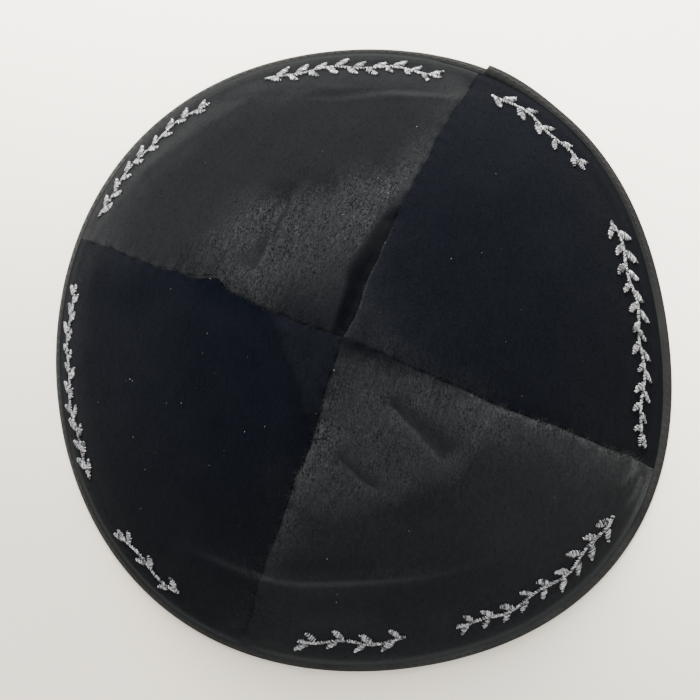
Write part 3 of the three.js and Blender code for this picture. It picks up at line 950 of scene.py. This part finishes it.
def makeClimbTable():  # plan insets by direction and by climb up the side wall from the tape's edge
    inset = np.linspace(0, 26, 131)
    angle, away = np.meshgrid(angleGrid[:-1:2], inset, indexing="ij")
    full = reach(angle)
    height = profile(angle, full - away, full)
    length = np.cumsum(np.hypot(np.diff(away, axis=1), np.diff(height, axis=1)), axis=1)
    length = np.concatenate([np.zeros((len(length), 1)), length], 1)
    tapeEdge = tape["height"] / np.sin(hemSlopeAt(angle[:, 0]))
    return np.stack([np.interp(climbGrid + edge, row, inset) for row, edge in zip(length, tapeEdge)])


climbTable = makeClimbTable()


def onWall(angle, climb):
    i = (angle % tau) / tau * len(climbTable)
    j = np.clip(climb, 0, climbTop - climbStep) / climbStep
    i0, j0 = i.astype(int) % len(climbTable), j.astype(int)
    u, w = i - i.astype(int), j - j0
    i1 = (i0 + 1) % len(climbTable)
    inset = ((climbTable[i0, j0] * (1 - w) + climbTable[i0, j0 + 1] * w) * (1 - u)
             + (climbTable[i1, j0] * (1 - w) + climbTable[i1, j0 + 1] * w) * u)
    return fromCrossing(angle, reach(angle) - inset)


def heading(turn):
    return np.array([math.cos(turn), math.sin(turn)])


def stemAt(a):
    return sprig["waver"] * math.sin(a * tau / sprig["waverLength"] + sprig["waverStart"])


def satinLeaf(base, turn, length, halfWidth):
    count = max(5, int(length / sprig["stitchPitch"]))
    t = (np.arange(count) + 0.5) / count
    width = halfWidth * np.sin(math.pi * t ** 0.8) ** 0.85 + 0.08
    middle = np.array(base)[None] + (t * length)[:, None] * heading(turn)
    reachOut = heading(turn + sprig["leafSlant"]) * width[:, None]
    return np.stack([middle - reachOut, middle + reachOut], 1)


def sprigStitches(length):
    half = length / 2
    stitches = []
    for a in np.linspace(-half + 1.2, half - 2.6, int(length / sprig["stitchPitch"])):
        pace = tau / sprig["waverLength"]
        slope = sprig["waver"] * pace * math.cos(a * pace + sprig["waverStart"])
        reachOut = sprig["stemHalfWidth"] * heading(math.atan(slope) + sprig["stemSlant"])
        stitches.append(np.array([[a, stemAt(a)] - reachOut, [a, stemAt(a)] + reachOut])[None])
    leafCount = max(3, int((length - 5) / sprig["leafEvery"]))
    for k in range(leafCount):
        a = -half + 1.6 + (length - 6.5) * k / (leafCount - 1)
        for side in (1, -1):
            foot = a + (0.0 if side == 1 else sprig["leafEvery"] * 0.42)
            size = (1 - sprig["smallerBy"] * k / leafCount) * dice.uniform(*sprig["sizeScatter"])
            scatter = dice.uniform(-sprig["turnScatter"], sprig["turnScatter"])
            turn = side * math.radians(sprig["leafTurn"] - sprig["leafTurnLess"] * k / leafCount + scatter)
            start = (foot, stemAt(foot) + side * sprig["besideStem"])
            leaf = (sprig["leafLength"] * size, sprig["leafHalfWidth"] * size)
            stitches.append(satinLeaf(start, turn, *leaf))
    stitches.append(satinLeaf((half - 2.9, stemAt(half - 2.9)), 0.0, **sprig["tip"]))
    stitches.append(satinLeaf((-half, stemAt(-half)), 0.1, **sprig["bud"]))
    return np.concatenate(stitches)


def makeThreadFinish():
    finish = Finish("silverThread", {"Metallic": 0.6, "Specular IOR Level": 0.5})
    sparkle = finish.fromVertices("sparkle")
    speck = finish.noise(2600, 2, 0.7)
    glints = finish.noise(900, 2, 0.6)
    lit = sparkle ** 1.6 * 0.95 + (speck - 0.5) * 1.2 + (glints - 0.5) * 1.8
    finish.paint(finish.clamp(lit, 0.0, 1.3), sprig["dark"], sprig["light"])
    finish.feed("Roughness", 0.52 - sparkle * 0.22)
    finish.bump(finish.noise(3800, 1), 0.5, 0.00008)
    return finish


def makeSprigs():
    t, rise = np.array(sprig["along"]), np.array(sprig["rise"])
    angles, climbs = [], []
    for row in sprigs:
        middle = math.radians((row["start"] + row["end"]) / 2)
        radius = reach(np.array([middle]))[0] - sprig["inset"]
        stitches = sprigStitches(math.radians(row["start"] - row["end"]) * radius)
        stitches = stitches + dice.normal(0, sprig["jitter"], stitches.shape)
        path = stitches[:, :1] * (1 - t)[:, None] + stitches[:, 1:] * t[:, None]
        angles.append(middle - path[..., 0] / radius)
        climbs.append(row["climb"] + path[..., 1])
    x, y = onWall(np.concatenate(angles), np.concatenate(climbs))
    normal = capNormal(x, y, 0.5)
    lift = sprig["arch"] * rise + sprig["lift"] + dice.normal(0, sprig["liftScatter"], (len(x), 1))
    path = onCap(x, y) + normal * lift[..., None]
    points, faces = threadTubes(path, normal, sprig["halfThick"], sprig["halfThick"] * sprig["flatter"])
    sparkle = np.repeat(dice.beta(*sprig["sparkle"], len(x)), len(points) // len(x))
    print("satin stitches", len(x))
    return addPiece("silverSprigs", points, faces, [makeThreadFinish()],
                    values={"sparkle": sparkle})


makeSprigs()


# Lint: specks of pale fluff caught in the pile, some of them at places of their own
lint = {
    "specks": 60, "size": (0.05, 0.11), "uneven": (0.6, 1.3), "spread": 74, "above": 0.3,
    "places": [
        (0, -10), (-8, 3), (-5, -21), (12, 5), (13, 24), (-19, -24), (-52, -30), (-58, -45), (-31, -30),
        (-61, -10), (-59, -10), (-28, -50), (30, 20), (44, -2), (55, 30), (20, 60), (-40, 52), (-24, 58),
        (9, -52),
    ],
    "dark": (0.05, 0.055, 0.06), "light": (0.38, 0.38, 0.38),
}


def makeLint():
    extra = lint["specks"] - len(lint["places"])
    around, out = dice.uniform(0, tau, extra), np.sqrt(dice.uniform(0.01, 1, extra)) * lint["spread"]
    spots = np.array(lint["places"] + list(zip(out * np.cos(around), out * np.sin(around))), float)
    x, y = spots[:, 0], spots[:, 1]
    middle = onCap(x, y) + capNormal(x, y) * lint["above"]
    points, faces = [], []
    corner = np.array([[1, 0, 0], [-1, 0, 0], [0, 1, 0], [0, -1, 0], [0, 0, 1], [0, 0, -1]], float)
    shell = np.array([[0, 2, 4], [2, 1, 4], [1, 3, 4], [3, 0, 4],
                      [2, 0, 5], [1, 2, 5], [3, 1, 5], [0, 3, 5]])
    for k, place in enumerate(middle):
        size = dice.uniform(*lint["size"]) * dice.uniform(*lint["uneven"], (len(corner), 1))
        points.append(place + corner * size)
        faces += (shell + len(corner) * k).tolist()
    finish = Finish("paleLint", {"Roughness": 0.9, "Sheen Weight": 0.3})
    finish.paint(finish.noise(3000, 2), lint["dark"], lint["light"])
    return addPiece("paleLint", np.concatenate(points), faces, [finish])


makeLint()
print("sprigs and lint done")


# Pale table top with painted shade towards the near side, soft light and the camera
setting = {
    "floorSize": 1.6, "floorFar": (0.95, 0.92, 0.79), "floorNear": (0.44, 0.40, 0.335),
    "fadeFrom": -0.11, "fadeTo": 0.13, "fadeSlant": 0.4, "cloudScale": 9, "clouds": 0.03,
    "worldTone": (0.97, 0.98, 1.0), "worldStrength": 2.5,
}
lamp = {"at": (-0.107, 0.685, 0.545), "size": 0.45, "power": 40, "tone": (1, 0.99, 0.97)}
# The camera's places are in millimetres of the cap's form, and its focal length is in pixels of the photo
viewpoint = {"eye": (54, -54, 450), "aim": (-2.061, 1.27, 0), "pixelsAcross": 700, "focalPixels": 1565.57}


def makeFloor():
    half = setting["floorSize"] / 2
    corners = [(x * half, y * half, 0) for x, y in ((-1, -1), (1, -1), (1, 1), (-1, 1))]
    mesh = bpy.data.meshes.new("floor")
    mesh.from_pydata(corners, [], [(0, 1, 2, 3)])
    finish = Finish("paleTable", {"Roughness": 0.7, "Specular IOR Level": 0.25})
    place = finish.add("ShaderNodeSeparateXYZ", None, {"Vector": finish.place()})
    # Painted shade: the table top is painted darker towards the near side, from floorFar to floorNear
    sockets = {"Value": place.other(1) + place * setting["fadeSlant"],
               "From Min": setting["fadeFrom"], "From Max": setting["fadeTo"]}
    far = finish.add("ShaderNodeMapRange", {"interpolation_type": "SMOOTHSTEP"}, sockets)
    clouds = (finish.noise(setting["cloudScale"], 2) - 0.5) * setting["clouds"]
    finish.paint(far + clouds, setting["floorNear"], setting["floorFar"])
    mesh.materials.append(finish.material)
    floor = putInScene("floor", mesh)


def makeLamps():
    data = bpy.data.lights.new("windowLight", "AREA")
    data.size = lamp["size"]
    data.energy = lamp["power"]
    data.color = lamp["tone"]
    light = putInScene("windowLight", data)
    light.location = lamp["at"]
    light.rotation_euler = (-Vector(lamp["at"])).to_track_quat("-Z", "Y").to_euler()
    world = bpy.data.worlds.new("softRoom")
    world.use_nodes = True
    sky = world.node_tree.nodes["Background"]
    sky.inputs["Color"].default_value = (*setting["worldTone"], 1)
    sky.inputs["Strength"].default_value = setting["worldStrength"]
    bpy.context.scene.world = world


def makeCamera():
    data = bpy.data.cameras.new("photoCamera")
    data.sensor_width = 36
    data.lens = data.sensor_width * viewpoint["focalPixels"] / viewpoint["pixelsAcross"]
    data.clip_start = 0.01
    camera = putInScene("photoCamera", data)
    eye, aim = (Vector((np.array(viewpoint[key]) + shift) * mm) for key in ("eye", "aim"))
    camera.location = eye
    forward = (aim - eye).normalized()
    right = forward.cross(Vector((0, 1, 0))).normalized()
    up = right.cross(forward)
    camera.rotation_euler = Matrix((right, up, -forward)).transposed().to_euler()
    bpy.context.scene.camera = camera


makeFloor()
makeLamps()
makeCamera()
print("table, light and camera done")
